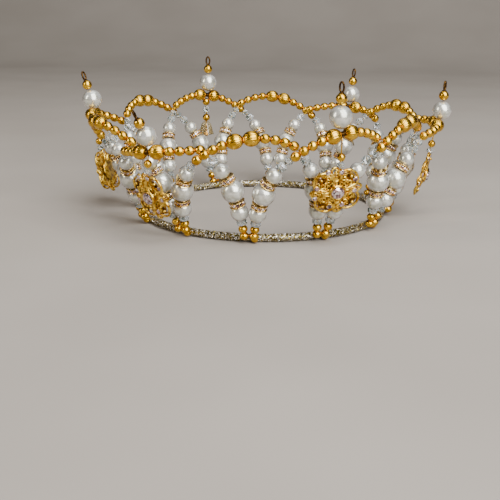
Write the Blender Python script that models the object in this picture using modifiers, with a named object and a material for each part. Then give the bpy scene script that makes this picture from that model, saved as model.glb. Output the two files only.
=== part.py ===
# A beaded tiara: a closed crown of twelve bays standing on one wound wire ring.
# Every bay has an arch of gold beads along the crest and, below it, two strands of pearls that
# rise from one foot on the ring like a V. The wire of an arch comes up from the foot on its left
# and goes down to the foot on its right, so neighbouring arches cross where their ends meet.
# Six bays carry a finial, four of these a pierced flower and the other two a bell drop.
# The front of the crown faces -Y, and the bays are counted from there towards +X.
# Lengths are in millimetres and angles in degrees until a mesh is made.
import math
from collections import namedtuple

import bmesh
import bpy
from mathutils import Matrix, Vector

MM = 0.001
WELD = 0.00001

# Room left between pieces that touch on the real crown
GAP = 0.3

# The ring that the crown stands on
RING_RADIUS = 62.5
RING_THICKNESS = 4.0
RING_STEPS = 30
RING_SIDES = 8

# Where neighbouring arches cross, and the bow of an arch above its ends. Its right end lies
# END_DROP above the crossing and WEAVE inside it, and its left end as far below and outside
VALLEY_RADIUS = 82.2
VALLEY_HEIGHT = 45.3
BOW = 7.0
END_DROP = 2.0
WEAVE = 1.8

# The wire through the beads, and the beads themselves. A wide bead has a flat band that ends
# at BEAD_SHOULDER of its half width on each side of its middle
BEAD_SIDES = 10
BEAD_SHOULDER = 0.42
BALL_BANDS = 4
WIRE = 1.8
SMALL_BEAD = 4.2
LARGE_BEAD = 7.0
SMALL_BEADS_A_SIDE = 4
COIL_LENGTH = 2.0

# The strands, from the foot up: two small beads and a crystal, which make one sleeve here, then
# a pearl, a rondelle, a large pearl, a rondelle, a pearl, a crystal and bare wire to the arch
FOOT_BEAD = 3.7
FOOT_CRYSTAL = 3.4
STRAND_PEARL = 7.2
LARGE_PEARL = 10.2
RONDELLE = 8.0
RONDELLE_THICKNESS = 2.4
TOP_CRYSTAL = 5.0
TOP_CRYSTAL_WIDTH = 3.6
FOOT_SPACING = 5.2
FOOT_TILT = 24.0

# A strand bows by share * (1 - share ** 2) of its length, which is FULLEST_BOW at its fullest
STRAND_BOW = 5.3
FULLEST_BOW = 2.0 / math.sqrt(27.0)

# The finials
FINIAL_PEARL = 10.0
FINIAL_BEAD = 5.0
EYE_WIRE = 0.9
EYE_WIDTH = 3.0
EYE_HEIGHT = 5.3
EYE_POINTS = 8

# The flowers
FLOWER_WIDTH = 26.0
FLOWER_HEIGHT = 22.5
FLOWER_THICKNESS = 1.6
FLOWER_PETALS = 4
FLOWER_TURN = 33.0
FLOWER_CREASE = 0.2
PETAL_POINTS = 7
PETAL_HOLE = 4.2
PETAL_HOLE_REACH = 8.0
PETAL_HOLE_POINTS = 5
SETTING_WIDTH = 8.0
SETTING_HEIGHT = 1.6
SETTING_LIP = 0.3
STONE_WIDTH = 6.4
STONE_TABLE = 3.8
STONE_CROWN = 1.2
STONE_FACETS = 8
HANGING_WIDTH = 4.0
HANGING_BEADS = 7.8
HANGER_WIRE = 1.2
HANGER_SUNK = 1.0
HANGER_CLEAR = 0.7

# The bell drops: a string of beads with a bell below it, and a bead as its clapper
DROP_BEAD = 4.4
DROP_CRYSTAL = 5.0
BELL_WIDTH = 8.0
BELL_HEIGHT = 9.0
CLAPPER_WIDTH = 3.2

# The bell's wall from the neck over the rim to the inside, as shares of its width and height
BellSection = namedtuple("BellSection", "width depth")
BELL_SECTIONS = (
    BellSection(0.62, 0.20),
    BellSection(0.82, 0.55),
    BellSection(1.00, 0.86),
    BellSection(0.84, 0.86),
    BellSection(0.15, 0.55),
)

# One row for each bay: how far its arch leans out from upright and its bow as a share of BOW, the
# height of the crossing on its right as a share of VALLEY_HEIGHT, the width of its finial's pearl
# as a share of FINIAL_PEARL, how far the pearl's seat and the eye pin lean out and how far the eye
# is turned, and what hangs in the bay: its height as a share of VALLEY_HEIGHT, and how far it
# stands out from the pearls behind it
Bay = namedtuple("Bay", "arch_lean bow crossing pearl seat_lean pin_lean eye_turn hanging height out")
BAY_TABLE = (
    Bay(14, 1.0, 1.02, 0.0, 0, 0, 0, None, 0.0, 0.0),
    Bay(20, 1.0, 1.05, 1.04, 0, 0, 30, "flower", 0.64, 0.0),
    Bay(6, 1.0, 1.05, 0.0, 0, 0, 0, None, 0.0, 0.0),
    Bay(75, 1.0, 1.02, 0.96, 22, 3, 60, "flower", 0.57, 4.4),
    Bay(10, 1.0, 0.99, 0.0, 0, 0, 0, None, 0.0, 0.0),
    Bay(60, 1.0, 0.95, 1.0, 20, 10, 75, "bell", 0.0, 0.0),
    Bay(14, 1.0, 1.02, 0.0, 0, 0, 0, None, 0.0, 0.0),
    Bay(14, 1.0, 1.03, 1.02, 0, 0, 60, "bell", 0.0, 0.0),
    Bay(20, 1.0, 1.01, 0.0, 0, 0, 0, None, 0.0, 0.0),
    Bay(60, 1.5, 0.98, 1.03, 3, 18, 60, "flower", 0.52, 6.5),
    Bay(35, 1.5, 0.95, 0.0, 0, 0, 0, None, 0.0, 0.0),
    Bay(85, 1.0, 0.96, 0.95, 3, 35, 30, "flower", 0.59, 6.0),
)
BAYS = len(BAY_TABLE)

# Colour, roughness and metallic value of each finish
FINISHES = {
    "glitter_braid": ((0.35, 0.29, 0.13), 0.45, 0.7),
    "gold_bead": ((0.83, 0.52, 0.12), 0.18, 1.0),
    "pearl": ((0.86, 0.84, 0.80), 0.25, 0.0),
    "antique_brass": ((0.22, 0.15, 0.06), 0.40, 1.0),
    "gold_filigree": ((0.85, 0.56, 0.13), 0.25, 1.0),
    "champagne_glass": ((0.78, 0.70, 0.55), 0.20, 0.0),
}


def remove_everything():
    for obj in list(bpy.data.objects):
        bpy.data.objects.remove(obj, do_unlink=True)


def new_collection(name):
    collection = bpy.data.collections.new(name)
    bpy.context.scene.collection.children.link(collection)
    return collection


def make_finish(name):
    colour, roughness, metallic = FINISHES[name]
    material = bpy.data.materials.new(name)
    material.use_nodes = True
    shader = material.node_tree.nodes["Principled BSDF"]
    shader.inputs["Base Color"].default_value = (*colour, 1.0)
    shader.inputs["Roughness"].default_value = roughness
    shader.inputs["Metallic"].default_value = metallic
    return material


def on_crown(angle, radius, height):
    """The point at this angle round the crown, this far from its axis and this high."""
    turn = math.radians(angle)
    return Vector((radius * math.sin(turn), -radius * math.cos(turn), height))


def outwards(angle, rise=0.0):
    """The direction away from the axis at this angle, tilted up by rise degrees."""
    level = on_crown(angle, math.cos(math.radians(rise)), 0.0)
    return level + Vector((0.0, 0.0, math.sin(math.radians(rise))))


def bay_angle(bay):
    return 360.0 / BAYS * bay


def crossing_height(bay):
    """The height of the crossing on the right of this bay."""
    return VALLEY_HEIGHT * BAY_TABLE[bay % BAYS].crossing


def wide_bead(middle, width):
    """The two ends of a wide bead's flat band, each by its length on the wire and its radius."""
    radius = width / 2.0
    band = radius * math.sqrt(1.0 - BEAD_SHOULDER ** 2)
    return [(middle - radius * BEAD_SHOULDER, band), (middle + radius * BEAD_SHOULDER, band)]


# Places along an arch

def arch_point(bay, share):
    """The middle of the arch's wire, from its left end at -1 to its right end at 1."""
    across = (share + 1.0) / 2.0
    ends = crossing_height(bay - 1) * (1.0 - across) + crossing_height(bay) * across
    rise = BOW * BAY_TABLE[bay].bow * (1.0 - share ** 2)
    lean = math.radians(BAY_TABLE[bay].arch_lean)
    radius = VALLEY_RADIUS - WEAVE * share + rise * math.sin(lean)
    height = ends + END_DROP * share + rise * math.cos(lean)
    return on_crown(bay_angle(bay) + share * 180.0 / BAYS, radius, height)


def path_lengths(points):
    """How far along the path each point lies."""
    lengths = [0.0]
    for before, after in zip(points, points[1:]):
        lengths.append(lengths[-1] + (after - before).length)
    return lengths


def arch_path(bay, steps=200):
    """Points along the arch, and how far along the wire each one lies."""
    points = [arch_point(bay, 2.0 * i / steps - 1.0) for i in range(steps + 1)]
    return points, path_lengths(points)


def point_at(points, lengths, length):
    """The point where the path has this length, or anything else that lengths counts."""
    for i in range(1, len(points) - 1):
        if lengths[i] >= length:
            break
    share = (length - lengths[i - 1]) / (lengths[i] - lengths[i - 1])
    return points[i - 1].lerp(points[i], share)


def arch_beads(bay):
    """The width of each bead of an arch from left to right, and the place of its middle."""
    widths = [SMALL_BEAD] * SMALL_BEADS_A_SIDE + [LARGE_BEAD] * 2 + [SMALL_BEAD] * SMALL_BEADS_A_SIDE
    coil = COIL_LENGTH if BAY_TABLE[bay].pearl else 0.0
    points, lengths = arch_path(bay)
    middles = [0.0]
    for i in range(1, len(widths)):
        extra = coil if i == len(widths) // 2 else 0.0
        middles.append(middles[-1] + (widths[i - 1] + widths[i]) / 2.0 + extra)
    slack = (lengths[-1] - middles[-1]) / (len(widths) - 1)
    middles = [middle + i * slack for i, middle in enumerate(middles)]
    return widths, middles, points, lengths


def arch_end(bay, side):
    """The middle of an arch's end bead, side -1 for the left end and 1 for the right."""
    return arch_point(bay, float(side))


def crest(bay):
    """The middle of the two large beads, and the way from there to the right one."""
    widths, middles, points, lengths = arch_beads(bay)
    half = len(widths) // 2
    left = point_at(points, lengths, middles[half - 1])
    right = point_at(points, lengths, middles[half])
    return (left + right) / 2.0, (right - left) / 2.0


# Meshes

def add_object(name, data, collection, finish=None, place=None):
    obj = bpy.data.objects.new(name, data)
    collection.objects.link(obj)
    if place is not None:
        obj.matrix_world = place
    if finish is not None:
        data.materials.append(finish)
    return obj


def place_along(start, direction, outer=None):
    """A placing whose Z runs along the direction from the start, and whose X leans to outer."""
    z_axis = direction.normalized()
    guide = outer if outer is not None else Vector((0.0, 0.0, 1.0))
    x_axis = (guide - z_axis * guide.dot(z_axis)).normalized()
    y_axis = z_axis.cross(x_axis)
    turn = Matrix((x_axis, y_axis, z_axis)).transposed().to_4x4()
    return Matrix.Translation(start * MM) @ turn


def turned(name, profile, steps, collection, finish=None, place=None, is_ring=False):
    """A turned body. The profile lists radius and height from the top down to the bottom,
    and for a ring it closes on its first point."""
    count = len(profile)
    edges = [(i, (i + 1) % count) for i in range(count if is_ring else count - 1)]
    mesh = bpy.data.meshes.new(name)
    mesh.from_pydata([(r * MM, 0.0, z * MM) for r, z in profile], edges, [])
    obj = add_object(name, mesh, collection, finish, place)
    screw = obj.modifiers.new("turn", "SCREW")
    screw.steps = steps
    screw.render_steps = steps
    screw.use_merge_vertices = True
    screw.merge_threshold = WELD
    screw.use_smooth_shade = True
    return obj


def strung_curve(name, stations, sides):
    """A curve whose thickness follows the beads: stations are points with their radius."""
    curve = bpy.data.curves.new(name, "CURVE")
    curve.dimensions = "3D"
    curve.bevel_depth = MM
    curve.bevel_resolution = (sides - 4) // 2
    curve.use_fill_caps = True
    spline = curve.splines.new("POLY")
    spline.points.add(len(stations) - 1)
    for point, (place, radius) in zip(spline.points, stations):
        point.co = (*(place * MM), 1.0)
        point.radius = radius
    return curve


def meshed(obj):
    """The closed mesh of a curve object, which it replaces."""
    bpy.context.view_layer.update()
    depsgraph = bpy.context.evaluated_depsgraph_get()
    mesh = bpy.data.meshes.new_from_object(obj.evaluated_get(depsgraph))
    work = bmesh.new()
    work.from_mesh(mesh)
    bmesh.ops.remove_doubles(work, verts=work.verts, dist=WELD)
    bmesh.ops.recalc_face_normals(work, faces=work.faces)
    work.to_mesh(mesh)
    work.free()
    mesh.transform(obj.matrix_world)
    bpy.data.objects.remove(obj, do_unlink=True)
    return mesh


def fuse(obj, other):
    """Joins another body to an object as one solid."""
    other.hide_render = True
    other.display_type = "WIRE"
    join = obj.modifiers.new("join " + other.name, "BOOLEAN")
    join.operation = "UNION"
    join.object = other


# The ring

def make_ring(crown, finishes):
    """A section with a flat below, turned round the axis, so that the crown stands on it."""
    radius = RING_THICKNESS / 2.0 / math.cos(math.pi / RING_SIDES)
    section = []
    for i in range(RING_SIDES):
        turn = 2.0 * math.pi * (i + 0.5) / RING_SIDES
        section.append((RING_RADIUS + radius * math.sin(turn),
                        RING_THICKNESS / 2.0 + radius * math.cos(turn)))
    turned("base_ring", section, RING_STEPS, crown, finishes["glitter_braid"], is_ring=True)


# The arches

def arch_stations(bay):
    """The middle line and radius of the beaded wire, bead by bead."""
    widths, middles, points, lengths = arch_beads(bay)
    neck = WIRE / 2.0
    stations = [(-widths[0] / 2.0, neck)]
    for i, (width, middle) in enumerate(zip(widths, middles)):
        radius = width / 2.0
        if width == LARGE_BEAD:
            stations += wide_bead(middle, width)
        else:
            stations.append((middle, radius))
        if i + 1 < len(widths):
            after = middles[i + 1] - widths[i + 1] / 2.0
            stations.append(((middle + radius + after) / 2.0, neck))
        else:
            stations.append((middle + radius, neck))
    placed = []
    for length, radius in stations:
        inside = min(max(length, 0.0), lengths[-1])
        place = point_at(points, lengths, inside)
        if length != inside:
            start, end = (points[0], points[1]) if length < 0.0 else (points[-2], points[-1])
            place = place + (end - start).normalized() * (length - inside)
        placed.append((place, radius))
    return placed


def make_arch(bay, crown, finishes):
    name = f"arch_{bay + 1:02d}"
    curve = strung_curve(name, arch_stations(bay), BEAD_SIDES)
    add_object(name, curve, crown, finishes["gold_bead"])


# The strands

def strand_path(bay, side, steps=60):
    """Points up the wire of the strand on this side of the bay, and how far along it each lies.
    It starts on the ring, bows towards the bay's middle and ends in its arch's end bead."""
    seat = (RING_THICKNESS + FOOT_BEAD) / 2.0 + GAP
    shift = math.degrees(side * FOOT_SPACING / 2.0 / RING_RADIUS)
    angle = bay_angle(bay) + shift
    foot = on_crown(angle, RING_RADIUS, RING_THICKNESS / 2.0) + outwards(angle, FOOT_TILT) * seat
    end = arch_end((bay + side) % BAYS, -side)
    along = (end - foot).normalized()
    bottom = foot - along * FOOT_BEAD / 2.0
    inwards = outwards(bay_angle(bay) - side * 90.0)
    inwards = (inwards - along * inwards.dot(along)).normalized()
    points = []
    for i in range(steps + 1):
        share = i / steps
        bow = STRAND_BOW * share * (1.0 - share ** 2) / FULLEST_BOW
        points.append(bottom.lerp(end, share) + inwards * bow)
    return points, path_lengths(points)


def strand_stations(bay, side):
    """The middle line and radius of the strand from its foot up to its arch's end bead."""
    points, lengths = strand_path(bay, side)
    neck = WIRE / 2.0
    height = 2.0 * FOOT_BEAD + FOOT_CRYSTAL
    stations = [(0.0, neck), (FOOT_BEAD / 2.0, FOOT_BEAD / 2.0), (height, neck)]
    for width, thickness in ((STRAND_PEARL, STRAND_PEARL), (RONDELLE, RONDELLE_THICKNESS),
                             (LARGE_PEARL, LARGE_PEARL), (RONDELLE, RONDELLE_THICKNESS)):
        middle = height + thickness / 2.0
        if width == LARGE_PEARL:
            stations += wide_bead(middle, width)
        else:
            stations.append((middle, width / 2.0))
        height += thickness
        stations.append((height, neck))
    stations.append((height + STRAND_PEARL / 2.0, STRAND_PEARL / 2.0))
    stations.append((height + STRAND_PEARL + TOP_CRYSTAL / 2.0, TOP_CRYSTAL_WIDTH / 2.0))
    stations.append((lengths[-1] - SMALL_BEAD / 2.0 - GAP, neck))
    return [(point_at(points, lengths, length), radius) for length, radius in stations]


def make_strand(bay, side, crown, finishes):
    name = f"strand_{bay + 1:02d}_{'left' if side < 0 else 'right'}"
    curve = strung_curve(name, strand_stations(bay, side), BEAD_SIDES)
    add_object(name, curve, crown, finishes["pearl"])


# The finials

def in_notch(bay, width, direction):
    """Where a bead of this width rests on the two large beads, seen this way from between them."""
    middle, half = crest(bay)
    square = (direction - half * direction.dot(half) / half.length_squared).normalized()
    reach = (LARGE_BEAD + width) / 2.0 + GAP
    return middle + square * math.sqrt(reach ** 2 - half.length_squared)


def finial_width(bay):
    return FINIAL_PEARL * BAY_TABLE[bay].pearl


def finial_middle(bay):
    """The middle of the finial's pearl, which rests on the two large beads."""
    return in_notch(bay, finial_width(bay), outwards(bay_angle(bay), 90.0 - BAY_TABLE[bay].seat_lean))


def pin_direction(bay):
    return outwards(bay_angle(bay), 90.0 - BAY_TABLE[bay].pin_lean)


def ball_profile(width):
    """A bead with a pole at its top and bottom, its middle at the height zero."""
    turns = [math.pi * i / BALL_BANDS for i in range(BALL_BANDS + 1)]
    return [(width / 2.0 * math.sin(turn), width / 2.0 * math.cos(turn)) for turn in turns]


def make_finial_pearl(bay, crown, finishes):
    upright = pin_direction(bay)
    width = finial_width(bay)
    place = place_along(finial_middle(bay), upright, outwards(bay_angle(bay)))
    turned(f"finial_pearl_{bay + 1:02d}", ball_profile(width), BEAD_SIDES, crown, finishes["pearl"], place)


def eye_curve(name):
    """The oval loop of the eye pin, in the plane of X and Z with its foot at the height zero."""
    curve = bpy.data.curves.new(name, "CURVE")
    curve.dimensions = "3D"
    curve.bevel_depth = EYE_WIRE / 2.0 * MM
    curve.bevel_resolution = 1
    spline = curve.splines.new("POLY")
    spline.use_cyclic_u = True
    spline.points.add(EYE_POINTS - 1)
    across = (EYE_WIDTH - EYE_WIRE) / 2.0
    upwards = (EYE_HEIGHT - EYE_WIRE) / 2.0
    for i, point in enumerate(spline.points):
        turn = 2.0 * math.pi * i / EYE_POINTS
        height = EYE_HEIGHT / 2.0 - upwards * math.cos(turn)
        point.co = (across * math.sin(turn) * MM, 0.0, height * MM, 1.0)
    return curve


def make_eye_pin(bay, crown, cutters, finishes):
    """A gold bead over the finial's pearl with the wire's oval eye standing on it."""
    upright = pin_direction(bay)
    pearl = finial_width(bay)
    middle = finial_middle(bay) + upright * ((pearl + FINIAL_BEAD) / 2.0 + GAP)
    place = place_along(middle, upright, outwards(bay_angle(bay) + BAY_TABLE[bay].eye_turn))
    radius = FINIAL_BEAD / 2.0
    profile = [(0.0, radius + EYE_WIRE), (radius, 0.0), (0.0, -radius)]
    name = f"eye_pin_{bay + 1:02d}"
    pin = turned(name, profile, BEAD_SIDES, crown, finishes["antique_brass"], place)
    loop = add_object(name + "_curve", eye_curve(name + "_eye"), cutters)
    loop.matrix_world = place @ Matrix.Translation((0.0, 0.0, radius * MM))
    fuse(pin, add_object(name + "_eye", meshed(loop), cutters))


# The flowers

def flower_place(bay):
    """The middle of the flower's plate, its upward direction and the way that it faces.
    The plate hangs before the two large pearls of the V and leans as the strands do."""
    height = VALLEY_HEIGHT * BAY_TABLE[bay].height
    paths = [strand_path(bay, side)[0] for side in (-1, 1)]
    on_left, on_right = [point_at(path, [point.z for point in path], height) for path in paths]
    upward = sum(((path[-1] - path[0]).normalized() for path in paths), Vector()).normalized()
    facing = (on_right - on_left).cross(upward).normalized()
    clear = (LARGE_PEARL + FLOWER_THICKNESS) / 2.0 + GAP + BAY_TABLE[bay].out
    return (on_left + on_right) / 2.0 + facing * clear, upward, facing


def petal_turn(petal):
    """How far a petal is turned from upwards, in radians."""
    return math.radians(FLOWER_TURN) + 2.0 * math.pi * petal / FLOWER_PETALS


def flower_outline():
    """Round petals with a crease between each two."""
    count = FLOWER_PETALS * PETAL_POINTS
    points = []
    for i in range(count):
        turn = petal_turn(FLOWER_PETALS * i / count)
        bulge = abs(math.cos(math.pi * i / PETAL_POINTS))
        reach = 1.0 - FLOWER_CREASE * (1.0 - bulge) ** 2
        across = FLOWER_WIDTH / 2.0 * reach * math.sin(turn)
        upwards = FLOWER_HEIGHT / 2.0 * reach * math.cos(turn)
        points.append((across, upwards))
    return points


def petal_hole(petal):
    """The pierced eye of one petal."""
    turn = petal_turn(petal)
    radius = PETAL_HOLE / 2.0
    points = []
    for i in range(PETAL_HOLE_POINTS):
        angle = 2.0 * math.pi * i / PETAL_HOLE_POINTS + turn
        across = PETAL_HOLE_REACH * math.sin(turn) + radius * math.sin(angle)
        upwards = PETAL_HOLE_REACH * math.cos(turn) + radius * math.cos(angle)
        points.append((across, upwards))
    return points


def plate_curve(name):
    curve = bpy.data.curves.new(name, "CURVE")
    curve.dimensions = "2D"
    curve.fill_mode = "BOTH"
    curve.extrude = FLOWER_THICKNESS / 2.0 * MM
    outlines = [flower_outline()] + [petal_hole(petal) for petal in range(FLOWER_PETALS)]
    for outline in outlines:
        spline = curve.splines.new("POLY")
        spline.use_cyclic_u = True
        spline.points.add(len(outline) - 1)
        for point, (x, y) in zip(spline.points, outline):
            point.co = (x * MM, y * MM, 0.0, 1.0)
    return curve


def setting_profile():
    """The cut stone in its cup, from its table down into the plate."""
    rim = FLOWER_THICKNESS / 2.0 + SETTING_HEIGHT
    return [(0.0, rim + STONE_CROWN), (STONE_TABLE / 2.0, rim + STONE_CROWN), (STONE_WIDTH / 2.0, rim),
            (SETTING_WIDTH / 2.0, rim - SETTING_LIP), (SETTING_WIDTH / 2.0, 0.0), (0.0, 0.0)]


def hanger_stations(start, end):
    """The string from the flower's top to the arch: a sleeve of beads below, bare wire above."""
    along = (end - start).normalized()
    beads = HANGER_SUNK + HANGING_BEADS
    stations = [(0.0, HANGER_WIRE / 2.0), (HANGER_SUNK + HANGING_WIDTH / 2.0, HANGING_WIDTH / 2.0),
                (beads, HANGER_WIRE / 2.0), ((end - start).length, HANGER_WIRE / 2.0)]
    return [(start + along * length, radius) for length, radius in stations]


def make_flower(bay, crown, cutters, finishes):
    middle, upward, facing = flower_place(bay)
    place = place_along(middle, facing, outwards(bay_angle(bay) + 90.0))
    name = f"flower_{bay + 1:02d}"
    outline = add_object(name + "_curve", plate_curve(name), cutters, None, place)
    flower = add_object(name, meshed(outline), crown, finishes["gold_filigree"])
    setting = turned(name + "_setting", setting_profile(), STONE_FACETS, cutters, None, place)
    fuse(flower, setting)
    start = middle + upward * (FLOWER_HEIGHT / 2.0 * (1.0 - FLOWER_CREASE / 2.0) - HANGER_SUNK)
    end = crest(bay)[0] - Vector((0.0, 0.0, WIRE / 2.0 + HANGER_CLEAR))
    string = strung_curve(name + "_string", hanger_stations(start, end), BEAD_SIDES)
    hanger = add_object(name + "_string", string, cutters)
    fuse(flower, add_object(name + "_hanger", meshed(hanger), cutters))


# The bell drops

def bell_profile():
    """Radius and height of a drop, from its first bead down to the clapper."""
    profile = [(0.0, DROP_BEAD / 2.0)]
    height = DROP_BEAD / 2.0
    for width in (DROP_BEAD, DROP_CRYSTAL, DROP_BEAD):
        profile.append((width / 2.0, height - width / 2.0))
        height -= width
        profile.append((HANGER_WIRE / 2.0, height))
    for section in BELL_SECTIONS:
        profile.append((BELL_WIDTH / 2.0 * section.width, height - BELL_HEIGHT * section.depth))
    bottom = height - BELL_HEIGHT
    profile += [(CLAPPER_WIDTH / 2.0, bottom + CLAPPER_WIDTH / 2.0), (0.0, bottom)]
    return profile


def make_bell_drop(bay, crown, finishes):
    place = Matrix.Translation(in_notch(bay, DROP_BEAD, Vector((0.0, 0.0, -1.0))) * MM)
    turned(f"bell_drop_{bay + 1:02d}", bell_profile(), BEAD_SIDES, crown, finishes["champagne_glass"], place)


def build():
    remove_everything()
    crown = new_collection("tiara")
    cutters = new_collection("cutters")
    cutters.hide_render = True
    finishes = {name: make_finish(name) for name in FINISHES}
    make_ring(crown, finishes)
    for bay in range(BAYS):
        make_arch(bay, crown, finishes)
        make_strand(bay, -1, crown, finishes)
        make_strand(bay, 1, crown, finishes)
        if BAY_TABLE[bay].pearl:
            make_finial_pearl(bay, crown, finishes)
            make_eye_pin(bay, crown, cutters, finishes)
        if BAY_TABLE[bay].hanging == "flower":
            make_flower(bay, crown, cutters, finishes)
        if BAY_TABLE[bay].hanging == "bell":
            make_bell_drop(bay, crown, finishes)


build()
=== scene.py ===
# A beaded tiara: gold bead arches over leaning pearl strands on a glitter braid ring.
# Shapes are worked out in millimetres and degrees until a mesh is made; lights stand in metres.
import math

import bpy
import numpy as np
from mathutils import Matrix


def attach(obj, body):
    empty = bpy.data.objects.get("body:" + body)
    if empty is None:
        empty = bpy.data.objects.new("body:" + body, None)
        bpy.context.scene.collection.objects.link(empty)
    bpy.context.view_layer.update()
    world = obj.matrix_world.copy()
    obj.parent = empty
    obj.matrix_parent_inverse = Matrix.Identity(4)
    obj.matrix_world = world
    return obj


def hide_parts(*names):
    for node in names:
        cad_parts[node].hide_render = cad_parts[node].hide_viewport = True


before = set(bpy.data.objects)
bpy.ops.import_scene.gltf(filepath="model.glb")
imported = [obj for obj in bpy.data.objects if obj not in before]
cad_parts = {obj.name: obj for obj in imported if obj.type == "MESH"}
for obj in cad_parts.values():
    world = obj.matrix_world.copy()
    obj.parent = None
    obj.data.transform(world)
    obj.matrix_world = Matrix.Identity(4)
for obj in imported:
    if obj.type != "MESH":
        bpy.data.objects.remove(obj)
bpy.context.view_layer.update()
print("frame loaded:", len(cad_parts), "nodes")

mm = 0.001
rng = np.random.default_rng(11)
up = np.array([0.0, 0.0, 1.0])
standing = np.eye(3)  # the axes of a shape that isn't turned
noQuads, noTriangles = np.zeros((0, 4), int), np.zeros((0, 3), int)

# the crown's lines, the same as in the solids; fullestBow is the highest value of s * (1 - s squared)
crown = {
    "ringRadius": 62.5, "ringThickness": 4.0, "valleyRadius": 82.2, "valleyHeight": 45.3,
    "bow": 7.0, "endDrop": 2.0, "weave": 1.8, "gap": 0.3,
    "small": 4.2, "large": 7.0, "smallsASide": 4, "coil": 2.0,
    "footBead": 3.7, "footCrystal": 3.4, "pearl": 7.2, "bigPearl": 10.2,
    "rondelleThick": 2.4, "topCrystal": 5.0,
    "footSpacing": 5.2, "footTilt": 24.0, "strandBow": 5.3, "fullestBow": 2.0 / math.sqrt(27.0),
    "finialPearl": 10.0, "finialBead": 5.0,
}

# one row a bay, from the front towards +X: how far the arch leans out; its rise, the height of the
# crossing at its right and its finial pearl, each as a share of the usual one; the lean of that pearl's
# seat and of its pin; how far its eye is turned; what hangs from the crest, how high as a share of
# valleyHeight and how far out
columns = ("lean", "bow", "crossing", "pearl", "seatLean", "pinLean", "eyeTurn", "hangs", "height", "out")
bays = [dict(zip(columns, row)) for row in (
    (14, 1.0, 1.02, 0.0, 0, 0, 0, None, 0.0, 0.0),
    (20, 1.0, 1.05, 1.04, 0, 0, 30, "flower", 0.64, 0.0),
    (6, 1.0, 1.05, 0.0, 0, 0, 0, None, 0.0, 0.0),
    (75, 1.0, 1.02, 0.96, 22, 3, 60, "flower", 0.57, 4.4),
    (10, 1.0, 0.99, 0.0, 0, 0, 0, None, 0.0, 0.0),
    (60, 1.0, 0.95, 1.0, 20, 10, 75, "bell", 0.0, 0.0),
    (14, 1.0, 1.02, 0.0, 0, 0, 0, None, 0.0, 0.0),
    (14, 1.0, 1.03, 1.02, 0, 0, 60, "bell", 0.0, 0.0),
    (20, 1.0, 1.01, 0.0, 0, 0, 0, None, 0.0, 0.0),
    (60, 1.5, 0.98, 1.03, 3, 18, 60, "flower", 0.52, 6.5),
    (35, 1.5, 0.95, 0.0, 0, 0, 0, None, 0.0, 0.0),
    (85, 1.0, 0.96, 0.95, 3, 35, 30, "flower", 0.59, 6.0),
)]
bayTurn = 360.0 / len(bays)


def unit(vector):
    # a vector divided by its own length
    return vector / np.linalg.norm(vector, axis=-1, keepdims=True)


def circle(count):
    # angles of equal steps once round, in radians
    return np.arange(count) * 2.0 * math.pi / count


def onCrown(angle, radius, height):
    # point at (r sin a, -r cos a, z), the front at -Y and a counted towards +X
    turn = np.radians(angle)
    return np.stack(np.broadcast_arrays(radius * np.sin(turn), -radius * np.cos(turn), height), -1)


def outwards(angle, rise=0.0):
    # unit vector away from the axis, tilted up by rise
    return onCrown(angle, math.cos(math.radians(rise)), math.sin(math.radians(rise)))


def pathLengths(points):
    # running sum of the steps between points
    steps = np.linalg.norm(np.diff(points, axis=0), axis=1)
    return np.concatenate([[0.0], np.cumsum(steps)])


def pointAt(points, lengths, where):
    # straight mix of the two points either side, for each coordinate
    return np.stack([np.interp(where, lengths, points[:, k]) for k in range(3)], -1)


def directionAt(points, lengths, where, reach=0.3):
    # the chord from just before a place to just after it, made a unit vector
    return unit(pointAt(points, lengths, np.asarray(where) + reach)
                - pointAt(points, lengths, np.asarray(where) - reach))


def crossingHeight(bay):
    return crown["valleyHeight"] * bays[bay % len(bays)]["crossing"]


def archPath(bay, steps=200):
    # a parabola of rise bow * (1 - s squared), leaning outwards, from crossing to crossing
    share = np.linspace(-1.0, 1.0, steps + 1)
    across = (share + 1.0) / 2.0
    ends = crossingHeight(bay - 1) * (1.0 - across) + crossingHeight(bay) * across
    rise = crown["bow"] * bays[bay]["bow"] * (1.0 - share ** 2)
    lean = math.radians(bays[bay]["lean"])
    points = onCrown(bayTurn * bay + bayTurn / 2.0 * share,
                     crown["valleyRadius"] - crown["weave"] * share + rise * math.sin(lean),
                     ends + crown["endDrop"] * share + rise * math.cos(lean))
    return points, pathLengths(points)


def archBeads(bay):
    # bead widths touching in a row, with the spare length shared between them
    side = [crown["small"]] * crown["smallsASide"]
    widths = np.array(side + [crown["large"]] * 2 + side)
    points, lengths = archPath(bay)
    steps = (widths[1:] + widths[:-1]) / 2.0
    if bays[bay]["pearl"]:
        steps[len(widths) // 2 - 1] += crown["coil"]
    steps += (lengths[-1] - steps.sum()) / len(steps)
    return widths, np.concatenate([[0.0], np.cumsum(steps)]), points, lengths


def crest(bay):
    # middle of the two large beads, and half the way between them
    widths, middles, points, lengths = archBeads(bay)
    half = len(widths) // 2
    left, right = pointAt(points, lengths, middles[half - 1:half + 1])
    return (left + right) / 2.0, (right - left) / 2.0


def inNotch(bay, width, direction):
    # where a bead of this width rests on the two large ones
    middle, half = crest(bay)
    square = unit(direction - half * direction.dot(half) / half.dot(half))
    reach = (crown["large"] + width) / 2.0 + crown["gap"]
    return middle + square * math.sqrt(reach ** 2 - half.dot(half))


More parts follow.
